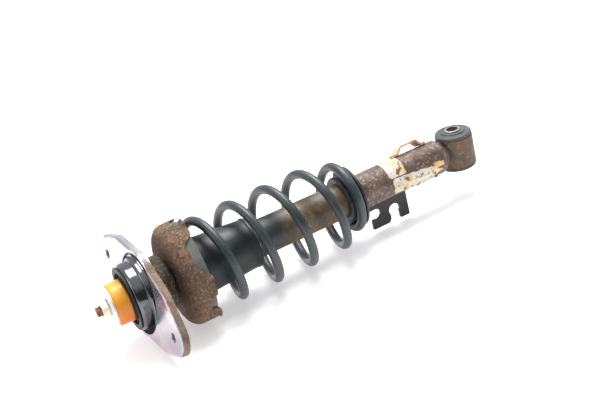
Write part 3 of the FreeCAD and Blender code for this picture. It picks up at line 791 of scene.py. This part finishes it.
# %% Neck cup, mount rubber and damper tube
neck_start, neck_end, neck_flange = span("neck_cup")
NECK_R, NECK_SHEET, NECK_BEND, NECK_HOLE = 29.0, 2.0, 3.5, 12.5
neck_rim, neck_floor = neck_start / MM + NECK_SHEET / 2, neck_end / MM - NECK_SHEET / 2
neck_path = [(neck_rim, neck_flange / MM), (neck_rim, NECK_R, NECK_BEND), (neck_floor, NECK_R, NECK_BEND),
             (neck_floor, NECK_HOLE)]
neck = lathe("rusty_neck", resampled(sheet_outline(neck_path, NECK_SHEET), 1.5), 240, dents=0.3 * MM,
             dent_length=18 * MM, crust=0.10 * MM, seed=9)
# The cup's finish is rust painted darker, as shade between the plate and the seat.
fit(neck, neck_rust_painted_shade, "mount_housing", ["neck_cup"])

first, last, rubber_r = (size / MM for size in span("mount_rubber"))
CORE_BORE, NECK_RUBBER_R, RUBBER_BEND, CAN_END, NECK_START, SPARE = 9.2, 27.4, 3.5, 7.0, 10.0, 0.2
relief = CORE_BORE + math.tan(TILT) * (last - first) / 2 + SPARE
rubber_outline = rounded([(first, relief), (first, rubber_r, RUBBER_BEND), (CAN_END, rubber_r),
                          (NECK_START, NECK_RUBBER_R), (last, NECK_RUBBER_R, RUBBER_BEND),
                          (last, relief), (NECK_START, CORE_BORE)])
rubber = lathe("relieved_rubber", resampled(rubber_outline, 2.0), 96)
fit(rubber, seal_rubber, "mount_housing", ["mount_rubber"])

mouth, foot, tube_r, ridge_r = tube_start / MM, tube_end / MM, TUBE_R / MM, bead_r / MM
TUBE_WALL, RIDGE, RIDGE_TOP, RIDGE_END = 1.7, 259.8, 262.8, 264.8
tube_outline = rounded([(mouth, tube_r - TUBE_WALL), (mouth, tube_r, 0.5), (RIDGE, tube_r),
                        (RIDGE, ridge_r, 0.8), (RIDGE_TOP, ridge_r, 0.8), (RIDGE_END, tube_r, 1.0),
                        (foot, tube_r, 0.4), (foot, tube_r - TUBE_WALL)])
tube = lathe("rusty_tube", resampled(tube_outline, 1.6), 180, dents=0.06 * MM, dent_length=30 * MM,
             crust=0.09 * MM, seed=13)
fit(tube, tube_finish, "damper_body", ["outer_tube"])


# %% [markdown]
# ## Labels
# The two paper labels are half torn off. A label is a patch of the tube's surface, lifted by about a third
# of a millimetre, whose four edges wander with short waves. One edge of the lower label has come loose and
# stands off the tube. The patch is closed underneath, as a real sheet is.

# %% Torn paper labels
LABEL_ROWS, LABEL_COLUMNS = 140, 70
# An edge is a walk through the waves: its length and the waves' length are in metres.
END_RUN, SIDE_RUN = 0.06, 0.08
END_TEAR, SIDE_TEAR, TEAR_WAVES, TEAR_R = 0.011, 0.009, 16, 20
# The paper's height above the tube in mm, how much it waves, and the glue under it.
LIFT, LIFT_WAVE, LIFT_LENGTH, GLUE = 0.30, 0.12, 0.008, 0.02
# The loose edge starts at these shares of the label's width and length.
PEEL_FROM, PEEL_START, PEEL_RUN = 0.78, 0.25, 0.3


def torn_label(name, stations, angles, tear, seed, taper=0.0, peel=0.0):
    """Patch from station to station (mm) and angle to angle (degrees), each edge moved by waves of tear mm.

    The upper edge falls by taper degrees towards the far end, and the lower edge stands off by peel mm.
    Points run from edge to edge by plain shares u along the tube and v round it.
    """
    u, v = np.meshgrid(np.linspace(0, 1, LABEL_ROWS), np.linspace(0, 1, LABEL_COLUMNS), indexing="ij")
    ends = []
    sides = []
    for k in (0, 1):
        end_run = np.stack([v * 0 + k, v * END_RUN, v * 0], -1)
        side_run = np.stack([u * SIDE_RUN, u * 0 + k, u * 0], -1)
        end_wave = waves(end_run, END_TEAR, TEAR_WAVES, seed + k)
        side_wave = waves(side_run, SIDE_TEAR, TEAR_WAVES, seed + 5 + k)
        ends.append((stations[k] + tear * end_wave) * MM)
        sides.append(math.radians(angles[k]) + tear / TEAR_R * side_wave)
    sides[0] = sides[0] + math.radians(taper) * u ** 2
    x = ends[0] + (ends[1] - ends[0]) * u
    a = sides[0] + (sides[1] - sides[0]) * v
    sheet = np.stack([x, a * TUBE_R, a * 0], -1)
    lift = LIFT + LIFT_WAVE * waves(sheet, LIFT_LENGTH, seed=seed + 9)
    loose = peel * ease((v - PEEL_FROM) / (1 - PEEL_FROM)) * ease((u - PEEL_START) / PEEL_RUN)
    top = around(x, TUBE_R + (lift + loose) * MM, a)
    under = around(x, TUBE_R + (GLUE + loose) * MM, a)
    points = np.concatenate([top, under[:, ::-1]], axis=1)
    return face_outwards(grid_piece(name, points, ring=False))


upper_label = torn_label("label_top", (300, 322), (66, 158), 0.5, 21)
fit(upper_label, paper_finish, "damper_body", ["label_upper"])
lower_label = torn_label("label_side", (303, 362), (161, 219), 1.3, 33, taper=18, peel=2.4)
fit(lower_label, paper_finish, "damper_body", ["label_lower"])
SCRAPS = [((358, 371), (166, 186)), ((362, 369), (192, 204)), ((350, 358), (205, 226))]
for k, (stations, angles) in enumerate(SCRAPS):
    scrap = torn_label(f"label_scrap_{k}", stations, angles, 0.9, 50 + 20 * k, taper=6)
    fit(scrap, scrap_finish, "damper_body")


# %% [markdown]
# ## Weld beads
# Welds are what tell a real bracket from a glued-on one. A bead is a thin round bar with ripples along it,
# half sunk in the joint.

# %% Weld beads
RIPPLE, RIPPLE_PITCH, WANDER, WANDER_LENGTH = 0.14, 2.2 * MM, 0.12, 12 * MM


def weld(name, line, radius, seed, closed=False):
    """A bar along a line, whose radius ripples as a sine of the length run and wanders a little."""
    steps = np.linalg.norm(np.diff(line, axis=0), axis=1)
    run = np.concatenate([[0], np.cumsum(steps)])
    ripple = RIPPLE * np.sin(2 * math.pi * run / RIPPLE_PITCH)
    wander = WANDER * waves(line, WANDER_LENGTH, seed=seed)
    return sweep(name, line, radius * (1 + ripple + wander), sides=14, closed=closed)


eye_r = (eye_high.y - eye_low.y) / 2
FOOT_R, EYE_BEAD, EYE_GAP = 13.6 * MM, 2.2 * MM, 0.4 * MM
angle = np.linspace(0, 2 * math.pi, 240, endpoint=False)
eye_y, eye_z = FOOT_R * np.cos(angle), FOOT_R * np.sin(angle)
eye_line = np.stack([eye_x - np.sqrt(eye_r ** 2 - eye_y ** 2) - EYE_GAP, eye_y, eye_z], -1)
eye_weld = weld("eye_weld", eye_line, EYE_BEAD, 3, closed=True)
fit(eye_weld, eye_finish, "damper_body")

bracket_low, bracket_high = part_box("hose_bracket")
HALF_SHEET, BRACKET_BEAD, BEAD_DEPTH = 2.0 * MM, 1.3 * MM, 0.1 * MM
run = np.linspace(bracket_low.x + 3 * MM, bracket_high.x - 2 * MM, 160)
level = np.full(run.shape, -TUBE_R - BEAD_DEPTH)
for side in (-1, 1):
    line = np.stack([run, np.full(run.shape, side * HALF_SHEET), level], -1)
    bead = weld(f"bracket_weld_{side + 1}", line, BRACKET_BEAD, 7 + side)
    fit(bead, bracket_plate, "damper_body")


# %% [markdown]
# ## Floor
# The strut rests on a pale floor just under its lowest point, which is the spring seat. The floor glows a
# little by itself, as a lit studio sweep does, so it stays white under a soft shadow.

# %% Floor
FLOOR_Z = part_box("upper_spring_seat")[0].z - 0.5 * MM
floor_mesh = bpy.data.meshes.new("floor")
HALF = 6.0
floor_corners = [(x * HALF, y * HALF, FLOOR_Z) for x, y in ((-1, -1), (1, -1), (1, 1), (-1, 1))]
floor_mesh.from_pydata(floor_corners, [], [(0, 1, 2, 3)])
floor = bpy.data.objects.new("floor", floor_mesh)
bpy.context.scene.collection.objects.link(floor)
floor_paint = Finish("floor_paint")
floor_white = floor_paint.done(Base_Color=(0.90, 0.90, 0.905), Roughness=0.6,
                               Emission_Color=(1.0, 0.99, 1.0, 1.0), Emission_Strength=0.44)
floor.data.materials.append(floor_white)
print("floor at", round(FLOOR_Z, 4))


# %% [markdown]
# ## Lights
# A wide round panel hangs above and a little behind, which gives the coils their top highlight and a soft
# shadow on the near side. A weaker one lights the top plate's face. A pale sky fills the rest, but glossy
# dark metal needs something dark to reflect as well, so the sky has a dark stretch on the near side, from
# just above the floor to halfway up. The near side is minus Y.

# %% Two panels and the sky
def soft_light(name, place, target, size, watts):
    """A round light panel that faces a point."""
    lamp = bpy.data.lights.new(name, "AREA")
    lamp.shape = "DISK"
    lamp.size = size
    lamp.energy = watts
    panel = bpy.data.objects.new(name, lamp)
    panel.location = place
    panel.rotation_euler = (Vector(target) - Vector(place)).to_track_quat("-Z", "Y").to_euler()
    bpy.context.scene.collection.objects.link(panel)


MIDDLE, PLATE = (0.16, 0.0, 0.0), (0.0, 0.0, 0.0)
NEAR_SIDE = (0.0, -1.0, 0.0)
SKY_STRENGTH = 0.85
soft_light("key", (0.50, 0.32, 1.20), MIDDLE, 0.9, 22)
soft_light("face", (-1.30, 0.10, 0.75), PLATE, 0.8, 3)
sky = Finish("pale_sky", bpy.data.worlds)
way = sky.node("ShaderNodeTexCoord", {}, {}, "Generated")
height = sky.node("ShaderNodeSeparateXYZ", {}, {0: way}, "Z")
front = sky.node("ShaderNodeVectorMath", {"operation": "DOT_PRODUCT"}, {0: way, 1: NEAR_SIDE}, "Value")
low_sky = sky.steps(height, [(0.0, 0), (0.02, 1), (0.50, 1), (0.80, 0)])
near_sky = sky.steps(front, [(0.10, 0), (0.45, 1)])
shade = sky.mix(low_sky * near_sky, (0.96, 0.97, 1.0), (0.05, 0.05, 0.055))
light = sky.node("ShaderNodeBackground", {}, {"Color": shade, "Strength": SKY_STRENGTH})
sky.close(light, "ShaderNodeOutputWorld")
bpy.context.scene.world = sky.material
print("lights:", len(bpy.data.lights))


# %% [markdown]
# ## Camera
# The camera stands on the near side, beyond the mount's end and well above it, and it is rolled, so the
# strut climbs from the lower left to the upper right. Its turn is written as the three directions of its
# own axes: right, up and back. A quaternion made from them takes away what rounding leaves, so the three are
# exactly square to one another.

# %% Camera
CAMERA_PLACE = (-0.1989, -0.9388, 0.4892)
RIGHT, UP, BACK = (0.852, -0.472, -0.225), (0.385, 0.276, 0.881), (-0.354, -0.837, 0.417)
SENSOR_WIDTH, FOCAL_LENGTH = 36.0, 62.63
lens = bpy.data.cameras.new("camera")
lens.sensor_width = SENSOR_WIDTH
lens.lens = FOCAL_LENGTH
camera = bpy.data.objects.new("camera", lens)
turn = Matrix([RIGHT, UP, BACK]).transposed().to_quaternion()
camera.matrix_world = Matrix.Translation(CAMERA_PLACE) @ turn.to_matrix().to_4x4()
bpy.context.scene.collection.objects.link(camera)
bpy.context.scene.camera = camera
bpy.context.scene.view_settings.view_transform = "Standard"
print("camera at", CAMERA_PLACE)


# %% [markdown]
# ## Size
# A finer surface must not change the size of the strut.

# %% Update the scene
bpy.context.view_layer.update()
